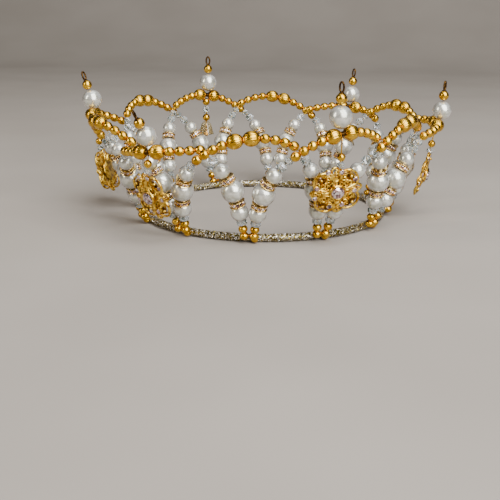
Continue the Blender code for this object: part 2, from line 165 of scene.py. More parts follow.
def strandPath(bay, side, steps=60):
    # a chord from the foot to the arch's end bead, bowed by s * (1 - s squared) towards the middle
    seat = (crown["ringThickness"] + crown["footBead"]) / 2.0 + crown["gap"]
    angle = bayTurn * bay + math.degrees(side * crown["footSpacing"] / 2.0 / crown["ringRadius"])
    foot = onCrown(angle, crown["ringRadius"], crown["ringThickness"] / 2.0)
    foot = foot + outwards(angle, crown["footTilt"]) * seat
    end = archPath((bay + side) % len(bays))[0][-1 if side < 0 else 0]
    along = unit(end - foot)
    bottom = foot - along * crown["footBead"] / 2.0
    inwards = outwards(bayTurn * bay - side * 90.0)
    inwards = unit(inwards - along * inwards.dot(along))
    share = np.linspace(0.0, 1.0, steps + 1)[:, None]
    bow = crown["strandBow"] * share * (1.0 - share ** 2) / crown["fullestBow"]
    points = bottom * (1.0 - share) + end * share + inwards * bow
    return points, pathLengths(points)


# Shapes: each is (corners, quads, triangles)

def gridQuads(rows, sides, isLoop=False):
    # quads from each ring of corners to the next one, and in a loop from the last ring to the first
    i, j = np.meshgrid(np.arange(rows if isLoop else rows - 1), np.arange(sides), indexing="ij")
    beyond, after = (i + 1) % rows, (j + 1) % sides
    quads = np.stack([i * sides + j, beyond * sides + j, beyond * sides + after, i * sides + after], -1)
    return quads.reshape(-1, 4)


def fan(pole, first, sides, isReversed):
    # triangles from a pole to the ring of corners that starts at first
    j = np.arange(sides)
    after = (j + 1) % sides
    if isReversed:
        j, after = after, j
    return np.stack([np.full_like(j, pole), first + j, first + after], -1)


def turned(profile, sides, flutes=0, depth=0.0):
    # corner (r cos t, r sin t, z) for each (r, z) of a profile from the top pole to the bottom one,
    # r swelling by depth * cos(flutes * t)
    profile = np.asarray(profile, float)
    turn = circle(sides)
    radius = profile[1:-1, :1] * (1.0 + depth * np.cos(flutes * turn))
    height = np.repeat(profile[1:-1, 1:], sides, axis=1)
    rows = len(profile) - 2
    corners = np.stack([radius * np.cos(turn), radius * np.sin(turn), height], -1).reshape(-1, 3)
    corners = np.concatenate([[[0, 0, profile[0, 1]]], corners, [[0, 0, profile[-1, 1]]]])
    ends = [fan(0, 1, sides, False), fan(rows * sides + 1, (rows - 1) * sides + 1, sides, True)]
    return corners, gridQuads(rows, sides) + 1, np.concatenate(ends)


def tube(path, radius, sides, guide, isLoop=False):
    # a circle of the radius carried along a path, its start turned towards the guide
    path = np.asarray(path, float)
    if isLoop:
        tangent = unit(np.roll(path, -1, axis=0) - np.roll(path, 1, axis=0))
    else:
        tangent = unit(np.gradient(path, axis=0))
    guide = np.broadcast_to(guide, path.shape)
    normal = unit(guide - tangent * (guide * tangent).sum(-1, keepdims=True))
    other = np.cross(tangent, normal)
    turn = circle(sides)[None, :, None]
    corners = path[:, None] + radius * (normal[:, None] * np.cos(turn) + other[:, None] * np.sin(turn))
    corners = corners.reshape(-1, 3)
    quads = gridQuads(len(path), sides, isLoop)[:, [0, 3, 2, 1]]
    if isLoop:
        return corners, quads, noTriangles
    start, end = len(corners), len(corners) + 1
    caps = [fan(start, 0, sides, True), fan(end, len(corners) - sides, sides, False)]
    return np.concatenate([corners, path[:1], path[-1:]]), quads, np.concatenate(caps)


def axesAlong(direction, outer=up):
    # three axes as columns: Z along the direction, X towards outer
    direction = np.atleast_2d(unit(np.asarray(direction, float)))
    outer = np.broadcast_to(outer, direction.shape)
    across = unit(outer - direction * (outer * direction).sum(-1, keepdims=True))
    return np.stack([across, np.cross(direction, across), direction], -1)


def placed(shape, places, axes=standing, scale=1.0):
    # every corner scaled, turned by the axes of its place and moved there
    corners, quads, triangles = shape
    places = np.atleast_2d(places)
    scale = np.asarray(scale, float)
    scale = np.broadcast_to(scale if scale.ndim == 2 else scale.reshape(-1, 1), (len(places), 3))
    axes = np.broadcast_to(axes, (len(places), 3, 3))
    moved = places[:, None] + np.einsum("nij,nmj->nmi", axes, scale[:, None] * corners)
    step = (np.arange(len(places)) * len(corners))[:, None, None]
    return moved.reshape(-1, 3), (quads[None] + step).reshape(-1, 4), (triangles[None] + step).reshape(-1, 3)


def joined(shapes):
    # shapes one after another, their corner numbers shifted on
    corners, quads, triangles, count = [], [], [], 0
    for shape in shapes:
        corners.append(shape[0])
        quads.append(shape[1] + count)
        triangles.append(shape[2] + count)
        count += len(shape[0])
    return np.concatenate(corners), np.concatenate(quads), np.concatenate(triangles)


def faceted(shape, swing):
    # each corner turned about Z by its own angle, and each quad split into two flat facets
    corners, quads, triangles = shape
    x, y = corners[:, 0].copy(), corners[:, 1].copy()
    corners[:, 0] = x * np.cos(swing) - y * np.sin(swing)
    corners[:, 1] = x * np.sin(swing) + y * np.cos(swing)
    return corners, noQuads, np.concatenate([quads[:, [0, 1, 2]], quads[:, [0, 2, 3]], triangles])


def makeMesh(name, shape, isSmooth):
    corners, quads, triangles = shape
    mesh = bpy.data.meshes.new(name)
    loops = np.concatenate([quads.ravel(), triangles.ravel()]).astype(np.int32)
    starts = np.concatenate([np.arange(len(quads)) * 4, len(quads) * 4 + np.arange(len(triangles)) * 3])
    mesh.vertices.add(len(corners))
    mesh.vertices.foreach_set("co", (corners * mm).astype(np.float32).ravel())
    mesh.loops.add(len(loops))
    mesh.loops.foreach_set("vertex_index", loops)
    mesh.polygons.add(len(starts))
    mesh.polygons.foreach_set("loop_start", starts.astype(np.int32))
    mesh.polygons.foreach_set("use_smooth", np.full(len(starts), isSmooth))
    mesh.update(calc_edges=True)
    mesh.validate()
    return mesh


def addObject(name, data):
    thing = bpy.data.objects.new(name, data)
    bpy.context.scene.collection.objects.link(thing)
    return thing


def makePiece(name, shape, material, nodes=(), isSmooth=True):
    piece = addObject(name, makeMesh(name, shape, isSmooth))
    piece.data.materials.append(material)
    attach(piece, "root")
    if nodes:
        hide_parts(*nodes)


# Materials

def linear(hexColour, alpha=1.0):
    # sRGB hex to linear light
    parts = [int(hexColour[i:i + 2], 16) / 255.0 for i in (1, 3, 5)]
    return tuple(p / 12.92 if p <= 0.04045 else ((p + 0.055) / 1.055) ** 2.4 for p in parts) + (alpha,)


def addNode(tree, kind, settings=None, links=None):
    # one node with its settings, and what feeds its inputs
    node = tree.nodes.new(kind)
    for key, value in (settings or {}).items():
        if key in node.inputs:
            node.inputs[key].default_value = value
        else:
            setattr(node, key, value)
    for key, source in (links or {}).items():
        tree.links.new(source, node.inputs[key])
    return node


def newMaterial(name, settings):
    material = bpy.data.materials.new(name)
    material.use_nodes = True
    shader = material.node_tree.nodes["Principled BSDF"]
    for key, value in settings.items():
        shader.inputs[key].default_value = value
    return material, material.node_tree, shader


def rampColour(tree, shader, source, stops):
    # the base colour follows a value through stops, each a place from 0 to 1 and a hex colour
    ramp = addNode(tree, "ShaderNodeValToRGB", {}, {"Fac": source})
    elements = ramp.color_ramp.elements
    while len(elements) < len(stops):
        elements.new(0.5)
    for element, (place, colour) in zip(elements, stops):
        element.position, element.color = place, linear(colour)
    tree.links.new(ramp.outputs["Color"], shader.inputs["Base Color"])


def noisyColour(tree, shader, first, second, size, detail=2.0, low=0.35, high=0.65):
    # the base colour wanders between two hex colours over patches of this size in mm
    where = addNode(tree, "ShaderNodeTexCoord").outputs["Object"]
    settings = {"Scale": 1.0 / (size * mm), "Detail": detail}
    noise = addNode(tree, "ShaderNodeTexNoise", settings, {"Vector": where})
    rampColour(tree, shader, noise.outputs["Fac"], [(low, first), (high, second)])
    return where


def facetColour(tree, shader, size, stops):
    # the base colour is even over each of many cells of this size in mm, picked from the stops
    where = addNode(tree, "ShaderNodeTexCoord").outputs["Object"]
    cells = addNode(tree, "ShaderNodeTexVoronoi", {"Scale": 1.0 / (size * mm)}, {"Vector": where})
    rampColour(tree, shader, cells.outputs["Color"], stops)
    return cells.outputs["Color"]


def bumpFrom(tree, shader, source, height):
    # the surface stands up by this height in mm where the value is 1
    settings = {"Strength": 1.0, "Distance": height * mm}
    bump = addNode(tree, "ShaderNodeBump", settings, {"Height": source})
    tree.links.new(bump.outputs["Normal"], shader.inputs["Normal"])


def noisyBump(tree, shader, where, size, height):
    settings = {"Scale": 1.0 / (size * mm), "Detail": 3.0}
    noise = addNode(tree, "ShaderNodeTexNoise", settings, {"Vector": where})
    bumpFrom(tree, shader, noise.outputs["Fac"], height)


def satinGoldPlate():
    # satin gold plating over plastic and brass beads: a soft yellow highlight, orange-brown below
    material, tree, shader = newMaterial("gold_bead_plate", {"Metallic": 1.0, "Roughness": 0.27})
    where = noisyColour(tree, shader, "#BA8614", "#EEC040", 2.2)
    noisyBump(tree, shader, where, 0.6, 0.012)
    return material


def castFiligree():
    # plated casting: patches of bright yellow and of redder, duller gold along the scrolls
    material, tree, shader = newMaterial("gold_filigree_casting", {"Metallic": 1.0, "Roughness": 0.28})
    where = noisyColour(tree, shader, "#A9700E", "#FAD45A", 1.6, 3.0, 0.4, 0.56)
    noisyBump(tree, shader, where, 0.5, 0.05)
    return material


def paintedHollowShade():
    # the ground of the casting under its scrolls, painted dark brown as the shade that falls in its hollows,
    # so that the ridges stand out
    material, tree, shader = newMaterial("gold_filigree_painted_shade", {"Metallic": 1.0, "Roughness": 0.4})
    noisyColour(tree, shader, "#3A2206", "#8A5C14", 1.4)
    return material


def rondellePlate():
    # thin pale gold plating on stamped rims, brighter than the beads
    material, tree, shader = newMaterial("rondelle_gold_plate", {"Metallic": 1.0, "Roughness": 0.2})
    noisyColour(tree, shader, "#CFA050", "#F8E29C", 1.5)
    return material


def pearlLacquer():
    # moulded bead under pearl essence lacquer: silvery white body, a soft glow and a clear window glint
    settings = {"Roughness": 0.27, "IOR": 1.9, "Metallic": 0.55, "Coat Weight": 1.0, "Coat Roughness": 0.08,
                "Coat IOR": 1.8, "Thin Film Thickness": 430.0, "Thin Film IOR": 1.35}
    material, tree, shader = newMaterial("pearl_lacquer", settings)
    where = noisyColour(tree, shader, "#B5B0A0", "#DEDAD0", 2.5)
    noisyBump(tree, shader, where, 1.2, 0.01)
    return material


def darkenedBrass():
    # brass wire darkened in sulphide: near black with brown rubbed edges
    material, tree, shader = newMaterial("antique_brass_wire", {"Metallic": 1.0, "Roughness": 0.34})
    where = noisyColour(tree, shader, "#2E2112", "#6B4A1E", 0.8)
    noisyBump(tree, shader, where, 0.4, 0.02)
    return material


def clearCrystal():
    # cut soda-lime glass beads: clear, with painted facets, grey-green ones as painted shade and white ones
    # as painted glints
    settings = {"Transmission Weight": 0.72, "IOR": 1.56, "Roughness": 0.04,
                "Coat Weight": 1.0, "Coat Roughness": 0.02}
    material, tree, shader = newMaterial("clear_cut_glass", settings)
    facetColour(tree, shader, 1.9, [(0.2, "#7E8A83"), (0.42, "#D3DAD5"), (1.0, "#FFFFFF")])
    return material


def foilStone():
    # foil-backed cut stones, rose-brown, with the light that the facets throw back painted in: white facets
    # as painted glints and near-black ones as painted shade
    settings = {"Metallic": 0.85, "Roughness": 0.06, "Coat Weight": 1.0, "Coat Roughness": 0.02}
    material, tree, shader = newMaterial("foil_backed_stone", settings)
    facetColour(tree, shader, 0.8, [(0.25, "#3E2826"), (0.42, "#C49692"), (1.0, "#FFFFFF")])
    return material


def champagneBell():
    # moulded clear plastic, champagne tinted: the gold bead inside shows through the thin wall
    settings = {"Roughness": 0.08, "IOR": 1.25, "Coat Weight": 0.6, "Coat Roughness": 0.06,
                "Transmission Weight": 0.93}
    material, tree, shader = newMaterial("champagne_bell_plastic", settings)
    noisyColour(tree, shader, "#E4CE92", "#F2E6C2", 3.0)
    return material


def glitterBraid():
    # metallised yarn wound into a braid: olive gold, with white cells as painted sparks of light, cells drawn
    # 0.45 mm wide to show
    material, tree, shader = newMaterial("glitter_braid_yarn", {"Metallic": 1.0, "Roughness": 0.38})
    cells = facetColour(tree, shader, 0.45, [(0.25, "#33290A"), (0.5, "#8A7420"), (1.0, "#FFFFFF")])
    bumpFrom(tree, shader, cells, 0.3)
    return material


def glitterFilm():
    # cut flakes of metallised film: flat mirrors, olive and gold from flake to flake, with near-white ones as
    # painted glints
    material, tree, shader = newMaterial("glitter_film_flakes", {"Metallic": 1.0, "Roughness": 0.18})
    facetColour(tree, shader, 0.7, [(0.2, "#54430E"), (0.5, "#AC922E"), (1.0, "#FFFFFF")])
    return material


gold, filigree, pearl = satinGoldPlate(), castFiligree(), pearlLacquer()
hollowShade, paleGold = paintedHollowShade(), rondellePlate()
darkWire, crystal, stone = darkenedBrass(), clearCrystal(), foilStone()
champagne, braid, film = champagneBell(), glitterBraid(), glitterFilm()
print("materials made")


# Bead shapes, one millimetre across, with the hole along Z

dimple = {"lipWidth": 0.72, "lipHeight": 0.97, "depth": 0.09}


def ball(rows, sides, hole, flutes=0, depth=0.0):
    # a sphere cut off at the hole's angle from each pole, with a dimple there
    turn = np.linspace(hole, math.pi - hole, rows)
    body = np.stack([0.5 * np.sin(turn), 0.5 * np.cos(turn)], -1)
    lip = body[0] * [dimple["lipWidth"], dimple["lipHeight"]]
    inner = [0.0, body[0, 1] - dimple["depth"]]
    profile = np.concatenate([[inner], [lip], body, [lip * [1, -1]], [[0.0, -inner[1]]]])
    return turned(profile, sides, flutes, depth)


# rows, sides, the hole's angle in radians, and for a corrugated bead its flutes and their depth
beadShapes = {
    "small": ball(9, 16, 0.36),
    "large": ball(13, 80, 0.33, 20, 0.028),
    "smooth": ball(15, 26, 0.30),
    "pearl": ball(15, 26, 0.20),
    "bigPearl": ball(19, 34, 0.16),
}

# how stones are cut: a bead's rings and its end's angle in radians, where a stone's crown breaks as a
# share of its width and height, and its girdle in mm
cut = {"rings": 4, "end": 0.32, "break": 0.62, "girdle": 0.25}


def cutBead(length, width, sides):
    # a faceted bead: rings of a sphere stretched to size, each half a facet round from the last
    turn = np.linspace(cut["end"], math.pi - cut["end"], cut["rings"])
    profile = np.stack([np.sin(turn), np.cos(turn) / math.cos(cut["end"]) / 2.0], -1)
    profile *= [width / 2.0 / profile[:, 0].max(), length]
    ends = [[0.0, length / 2.0], [0.0, -length / 2.0]]
    shape = turned(np.concatenate([ends[:1], profile, ends[1:]]), sides)
    ring = np.repeat(np.arange(cut["rings"]), sides)
    return faceted(shape, np.concatenate([[0.0], ring * math.pi / sides, [0.0]]))


def cutStone(width, table, rise, base, sides):
    # a table, two rows of facets that meet half a facet round, a girdle and a flat back
    middle = (width * cut["break"] + table * (1.0 - cut["break"])) / 2.0
    profile = [[0, base + rise], [table / 2, base + rise], [middle, base + rise * cut["break"]],
               [width / 2, base], [width / 2, base - cut["girdle"]], [0, base - cut["girdle"]]]
    shape = turned(profile, sides)
    swing = np.zeros(len(shape[0]))
    swing[1 + sides:1 + 2 * sides] = math.pi / sides
    return faceted(shape, swing)


# The arches

# beads are stretched along the wire until their lips meet, as soft plated beads sit when pulled tight
archBead = {"smallGirth": 1.07, "largeGirth": 0.97, "lip": 0.93, "margin": 0.4}
wire = {"crown": 0.28, "hang": 0.3, "sides": 6}
coil = {"wire": 0.32, "radius": 0.95, "turns": 4, "steps": 60, "overlap": 0.15}
coils, wires = [], []
for bay, row in enumerate(bays):
    number = f"{bay + 1:02d}"
    widths, middles, points, lengths = archBeads(bay)
    inside = np.clip(middles, archBead["margin"], lengths[-1] - archBead["margin"])
    directions = directionAt(points, lengths, inside)
    places = pointAt(points, lengths, middles)
    outer = outwards(bayTurn * bay)
    isLarge = widths == crown["large"]
    girth = widths * np.where(isLarge, archBead["largeGirth"], archBead["smallGirth"])
    slack = middles[1] - middles[0] - crown["small"]
    sizes = np.stack([girth, girth, (widths + slack) / archBead["lip"]], -1)
    beads = [placed(beadShapes[kind], places[chosen], axesAlong(directions[chosen], outer), sizes[chosen])
             for kind, chosen in (("small", ~isLarge), ("large", isLarge))]
    makePiece(f"arch_beads_{number}", joined(beads), gold, [f"arch_{number}"])
    wires.append(tube(points[::5], wire["crown"], wire["sides"], outer))
    if row["pearl"]:
        # a helix of dark wire fills the room between the two large beads
        half = len(widths) // 2
        share = np.linspace(0.0, 1.0, coil["steps"])
        room = middles[half] - middles[half - 1] - crown["large"] + 2.0 * coil["overlap"]
        start = middles[half - 1] + crown["large"] / 2.0 - coil["overlap"]
        line = pointAt(points, lengths, start + share * room)
        across, aside, along = axesAlong(directions[half - 1], outer)[0].T
        turn = share * coil["turns"] * 2.0 * math.pi
        swing = np.cos(turn)[:, None] * across + np.sin(turn)[:, None] * aside
        coils.append(tube(line + swing * coil["radius"], coil["wire"], wire["sides"], along + 0.01 * across))
print("arches made")


# The strands

rondelle = {"width": 7.7, "thick": 2.6, "rim": 0.3, "scallop": 0.018, "core": 5.2, "inset": 0.2,
            "post": 0.18, "postIn": 0.5, "stones": 11, "stone": 1.9, "table": 0.45, "stoneRise": 0.5,
            "stoneOut": 0.45}


def rondelleRim():
    # a thin plate with a rolled edge, scalloped round each stone and dished where the pearl sits
    half, thick = rondelle["width"] / 2.0, rondelle["rim"]
    dish = 0.1 - thick / 2
    return turned([[0, dish], [half * 0.72, dish], [half * 0.86, thick * 0.2], [half - 0.16, thick / 2],
                   [half, thick * 0.1], [half - 0.1, -thick / 2], [0, -thick / 2]],
                  4 * rondelle["stones"], rondelle["stones"], rondelle["scallop"])


def bar(radius, half, sides):
    # a round bar from -half to half
    return turned([[0, half], [radius, half], [radius, -half], [0, -half]], sides)


def rondelleMetal():
    # two rims, a core between them, and a post between each two stones
    half = rondelle["thick"] / 2.0
    inside = half - rondelle["inset"]
    lift = up * (half - rondelle["rim"] / 2)
    rim, upsideDown = rondelleRim(), np.diag([1.0, -1.0, -1.0])
    turn = 360.0 * (np.arange(rondelle["stones"]) + 0.5) / rondelle["stones"]
    around = onCrown(turn, rondelle["width"] / 2.0 - rondelle["postIn"], 0.0)
    return joined([placed(rim, lift), placed(rim, -lift, upsideDown), bar(rondelle["core"] / 2, inside, 22),
                   placed(bar(rondelle["post"], inside, 6), around)])


def rondelleStones():
    # eight-sided stones round the core, each facing out
    shape = cutStone(rondelle["stone"], rondelle["stone"] * rondelle["table"], rondelle["stoneRise"], 0.0, 8)
    turn = 360.0 * np.arange(rondelle["stones"]) / rondelle["stones"]
    around = onCrown(turn, rondelle["core"] / 2 + rondelle["stoneOut"], 0.0)
    return placed(shape, around, axesAlong(outwards(turn)))


metalShape, stoneShape = rondelleMetal(), rondelleStones()
crystalSizes = {"footLong": 0.96, "footWide": 5.0, "topLong": 0.92, "topWide": 4.6,
                "spareLength": 3.2, "spareWide": 3.8, "spareMiddle": 1.75}
footCut = cutBead(crown["footCrystal"] * crystalSizes["footLong"], crystalSizes["footWide"], 8)
topCut = cutBead(crown["topCrystal"] * crystalSizes["topLong"], crystalSizes["topWide"], 7)
spareCut = cutBead(crystalSizes["spareLength"], crystalSizes["spareWide"], 7)
# what a strand holds over its foot: the length that each takes, and how much wider it is drawn
strandBeads = [("pearl", crown["pearl"], 1.18), ("rondelle", crown["rondelleThick"], 1.0),
               ("bigPearl", crown["bigPearl"], 1.06), ("rondelle", crown["rondelleThick"], 1.0),
               ("pearl", crown["pearl"], 1.05)]
footGold = {"girth": 1.2, "long": 1.04}
# the gold bead that lies on the ring below each pair of strands: degrees aside, mm out and up
ringBead = {"aside": 2.2, "out": 3.0, "height": 2.2, "facing": 92.0, "width": 3.6}
rims, stones, crystals, footGolds = [], [], [], []


def makeStrand(bay, side, word):
    # beads threaded from the foot up, each one's place the sum of the lengths below it
    points, lengths = strandPath(bay, side)
    outer = outwards(bayTurn * bay)

    def spot(where):
        return pointAt(points, lengths, [where]), axesAlong(directionAt(points, lengths, [where]), outer)

    bead = crown["footBead"]
    size = [[bead * footGold["girth"], bead * footGold["girth"], bead * footGold["long"]]]
    for where in (bead / 2.0, 1.5 * bead):
        footGolds.append(placed(beadShapes["small"], *spot(where), size))
    height = 2.0 * bead + crown["footCrystal"]
    crystals.append(placed(footCut, *spot(height - crown["footCrystal"] / 2.0)))
    pearls = []
    for kind, width, swell in strandBeads:
        place, axes = spot(height + width / 2.0)
        if kind == "rondelle":
            rims.append(placed(metalShape, place, axes))
            stones.append(placed(stoneShape, place, axes))
        else:
            pearls.append(placed(beadShapes[kind], place, axes, width * swell))
        height += width
    crystals.append(placed(topCut, *spot(height + crown["topCrystal"] / 2.0)))
    height += crown["topCrystal"]
    if lengths[-1] - crown["small"] / 2.0 - height > crystalSizes["spareLength"]:
        crystals.append(placed(spareCut, *spot(height + crystalSizes["spareMiddle"])))
    name = f"{bay + 1:02d}_{word}"
    makePiece(f"pearls_{name}", joined(pearls), pearl, [f"strand_{name}"])
    wires.append(tube(points[::2], wire["crown"], wire["sides"], outer))


for bay in range(len(bays)):
    for side, word in ((-1, "left"), (1, "right")):
        makeStrand(bay, side, word)
    radius = crown["ringRadius"] + ringBead["out"]
    place = onCrown(bayTurn * bay + ringBead["aside"], radius, ringBead["height"])
    axes = axesAlong(outwards(bayTurn * bay + ringBead["facing"]))
    footGolds.append(placed(beadShapes["small"], place, axes, ringBead["width"]))
print("strands made")


# The finials

eye = {"wire": 0.45, "width": 3.0, "height": 5.3, "sink": 0.25, "collar": 1.3, "collarEdge": 0.8,
       "collarHalf": 0.35, "collarSink": 0.2}


def makeEye():
    # an oval in the plane of X and Z that stands in a dark collar on the bead's hole
    turn, beadTop = circle(24), crown["finialBead"] / 2.0
    across = (eye["width"] / 2.0 - eye["wire"]) * np.sin(turn)
    rise = eye["height"] / 2.0 - (eye["height"] / 2.0 - eye["wire"]) * np.cos(turn)
    path = np.stack([across, np.zeros_like(turn), beadTop + rise - eye["sink"]], -1)
    loop = tube(path, eye["wire"], 8, np.array([0.0, 1.0, 0.0]), True)
    edge, half = eye["collar"] * eye["collarEdge"], eye["collarHalf"]
    collar = turned([[0, half], [edge, half], [eye["collar"], 0.0], [edge, -half], [0, -half]], 16)
    return joined([loop, placed(collar, up * (beadTop - eye["collarSink"]))])


eyeShape = makeEye()
finialGolds = []
for bay, row in enumerate(bays):
    if not row["pearl"]:
        continue
    number = f"{bay + 1:02d}"
    width = crown["finialPearl"] * row["pearl"]
    middle = inNotch(bay, width, outwards(bayTurn * bay, 90.0 - row["seatLean"]))
    upright = outwards(bayTurn * bay, 90.0 - row["pinLean"])
    shape = placed(beadShapes["bigPearl"], middle, axesAlong(upright, outwards(bayTurn * bay)), width)
    makePiece(f"finial_pearl_bead_{number}", shape, pearl, [f"finial_pearl_{number}"])
    bead = middle + upright * ((width + crown["finialBead"]) / 2.0 + crown["gap"])
    axes = axesAlong(upright, outwards(bayTurn * bay + row["eyeTurn"]))
    finialGolds.append(placed(beadShapes["smooth"], bead, axes, crown["finialBead"]))
    makePiece(f"eye_loop_{number}", placed(eyeShape, bead, axes), darkWire,
              [f"eye_pin_{number}"])
print("finials made")


# The flowers, drawn in the plane of X and Y with their faces towards +Z

flower = {"width": 26.0, "height": 22.5, "drawnWidth": 24.7, "drawnHeight": 22.6, "turn": 33.0,
          "clear": 6.2, "seat": 0.4, "domeHeight": 1.7, "domeFall": 0.016, "rim": 0.6, "scroll": 0.5}
petal = {"reach": 6.9, "radius": 4.9, "cup": 1.1, "inner": 3.6, "innerLift": 0.4, "plateLift": 0.25,
         "voluteAside": 1.75, "volute": 1.7, "turns": 1.3, "lift": 0.8,
         "bead": 1.5, "beadOut": 2.6, "beadLift": 1.5, "middleBead": 1.3, "middleLift": 1.3}
leaf = {"reach": 8.4, "long": 3.0, "wide": 1.9, "rimLift": 0.3, "volute": 1.2, "turns": 1.1, "lift": 0.9}
spoke = {"count": 16, "start": 3.2, "short": 6.4, "long": 9.0, "sink": 0.25, "wire": 0.34,
         "ties": ((4.9, 0.4), (6.2, 0.3)), "tieSink": 0.1}
setting = {"cup": 3.6, "stone": 6.4, "table": 3.8, "stoneRise": 1.5, "stoneBase": 2.7,
           "small": 2.6, "smallTable": 0.5, "smallRise": 0.55, "smallBase": 1.0, "smallLift": 0.5}
# sections in mm, as (radius, height) from the upper pole to the lower one
plateSection = [(0, 0.35), (1.2, 0.4), (2.4, 0.7), (3.3, 1.1), (3.1, 0.75), (1.6, 0.1), (0, 0.05)]
plateBackSection = [(0, 0.03), (1.6, 0.08), (3.05, 0.7), (3.1, 0.6), (1.6, -0.06), (0, -0.1)]
groundSection = [(0, 1.2), (2.0, 1.1), (4.4, 0.75), (5.6, 0.35), (5.3, 0.0), (0, 0.2)]
groundBackSection = [(0, 0.18), (5.25, -0.03), (5.35, -0.15), (0, 0.05)]
colletSection = [(0, 0.9), (0.95, 0.9), (1.05, 1.15), (1.35, 1.1), (1.4, 0.2), (0, -0.4)]
# middles of the small stones across the plate
smallStones = np.array([(-5.4, 9.0), (0.6, 9.6), (7.4, 6.2), (7.9, 0.6), (3.3, -6.6), (-2.0, -7.8),
                        (-9.2, -3.9), (-9.2, 0.9)])
# the string that a flower hangs from: mm from its lower end, which lies inside the flower's top
hanger = {"inside": 0.8, "below": 1.2, "crystalAt": 2.2, "crystalSize": 0.95, "beadAt": 5.7, "bead": 3.8,
          "wireBelow": 1.0}


def flowerPlace(bay):
    # before the two large pearls, leaning as the strands do
    height = crown["valleyHeight"] * bays[bay]["height"]
    paths = [strandPath(bay, side)[0] for side in (-1, 1)]
    left, right = [pointAt(path, path[:, 2], height) for path in paths]
    upward = unit(sum(unit(path[-1] - path[0]) for path in paths))
    facing = unit(np.cross(right - left, upward))
    return (left + right) / 2.0 + facing * (flower["clear"] + bays[bay]["out"]), upward, facing


def onPlate(turn, reach):
    # point (r sin t, r cos t) of the plate
    return np.stack([reach * np.sin(turn), reach * np.cos(turn)], -1)


def dome(flat):
    # the casting's face: highest round the stone, falling with the square of the distance
    return flower["domeHeight"] - flower["domeFall"] * (flat ** 2).sum(-1)


def raised(flat, lift, radius, sides=6, isLoop=True):
    # a wire over points of the plate, each at its own height
    return tube(np.column_stack([flat, lift]), radius, sides, up, isLoop)


def volute(centre, size, start, turns, lift, radius):
    # a spiral whose radius shrinks evenly to a fifth while it climbs by half a millimetre
    share = np.linspace(0.0, 1.0, 30)
    flat = centre + onPlate(start + share * turns * 2.0 * math.pi, size * (1.0 - 0.8 * share))
    return raised(flat, lift + 0.5 * share, radius, isLoop=False)


def petalShapes(turn):
    # a cupped rim whose outer side stands up, an inner rim, two volutes that curl in, beads and a back
    middle = onPlate(turn, petal["reach"])
    edge = middle + onPlate(circle(32), petal["radius"])
    outer = edge @ onPlate(turn, 1.0) / (petal["reach"] + petal["radius"])
    inner = middle + onPlate(circle(32), petal["inner"])
    shapes = [raised(edge, dome(edge) + petal["cup"] * outer ** 2, flower["rim"], 8),
              raised(inner, dome(edge) + petal["innerLift"], flower["scroll"] * 0.8)]
    for hand in (-1.0, 1.0):
        centre = middle + onPlate(turn + hand * math.pi / 2.0, petal["voluteAside"])
        shapes.append(volute(centre, petal["volute"], turn, hand * petal["turns"], petal["lift"],
                             flower["scroll"]))
    beads = [[*(middle + onPlate(turn, petal["beadOut"])), petal["beadLift"]], [*middle, petal["middleLift"]]]
    shapes.append(placed(beadShapes["small"], beads, standing, [petal["bead"], petal["middleBead"]]))
    return shapes + [petalPlate(middle, plateBackSection)]


def petalPlate(middle, section):
    # a cupped plate, notched round its edge so that light comes through
    return placed(turned(section, 36, 9, 0.12), [*middle, petal["plateLift"]])


def leafShapes(turn):
    # the oval leaf between two petals, with its S scroll
    middle, along = onPlate(turn, leaf["reach"]), onPlate(turn, 1.0)
    across = np.array([along[1], -along[0]])
    around = circle(32)[:, None]
    edge = middle + leaf["long"] * np.cos(around) * along + leaf["wide"] * np.sin(around) * across
    shapes = [raised(edge, dome(edge) + leaf["rimLift"], flower["rim"] * 0.9)]
    for hand in (-1.0, 1.0):
        shapes.append(volute(middle + along * leaf["volute"] * hand, leaf["volute"], turn,
                             hand * leaf["turns"], leaf["lift"], flower["scroll"] * 0.85))
    return shapes


def makeFlowerMetal():
    parts, ground = [], []
    for k in range(4):
        turn = math.radians(flower["turn"] + 90.0 * k)
        parts += petalShapes(turn) + leafShapes(turn + math.radians(45.0))
        ground.append(petalPlate(onPlate(turn, petal["reach"]), plateSection))
    # spokes from the stone's cup to the petals, and two rings that tie them
    for k in range(spoke["count"]):
        turn = math.radians(flower["turn"]) + 2.0 * math.pi * k / spoke["count"]
        flat = onPlate(turn, np.linspace(spoke["start"], spoke["long" if k % 2 else "short"], 8))
        parts.append(raised(flat, dome(flat) - spoke["sink"], spoke["wire"], isLoop=False))
    for radius, thickness in spoke["ties"]:
        flat = onPlate(circle(32), radius)
        parts.append(raised(flat, dome(flat) - spoke["tieSink"], thickness))
    ground.append(turned(groundSection, 32, 8, 0.05))
    parts.append(turned(groundBackSection, 32, 8, 0.05))
    # the cup with its milled rim, and a collet under each small stone
    cup = setting["cup"]
    parts.append(turned([(0, 2.6), (cup - 0.75, 2.6), (cup - 0.55, 3.2), (cup, 3.1), (cup + 0.25, 2.2),
                         (cup + 0.1, 0.4), (0, 0.4)], 48, 24, 0.02))
    parts.append(placed(turned(colletSection, 14), smallStonePlaces()))
    return joined(parts), joined(ground)


def smallStonePlaces():
    return np.column_stack([smallStones, dome(smallStones) * setting["smallLift"]])


def makeFlowerStones():
    middle = cutStone(setting["stone"], setting["table"], setting["stoneRise"], setting["stoneBase"], 10)
    small = cutStone(setting["small"], setting["small"] * setting["smallTable"], setting["smallRise"],
                     setting["smallBase"], 8)
    return joined([middle, placed(small, smallStonePlaces())])


(metalFlower, groundFlower), stoneFlower = makeFlowerMetal(), makeFlowerStones()
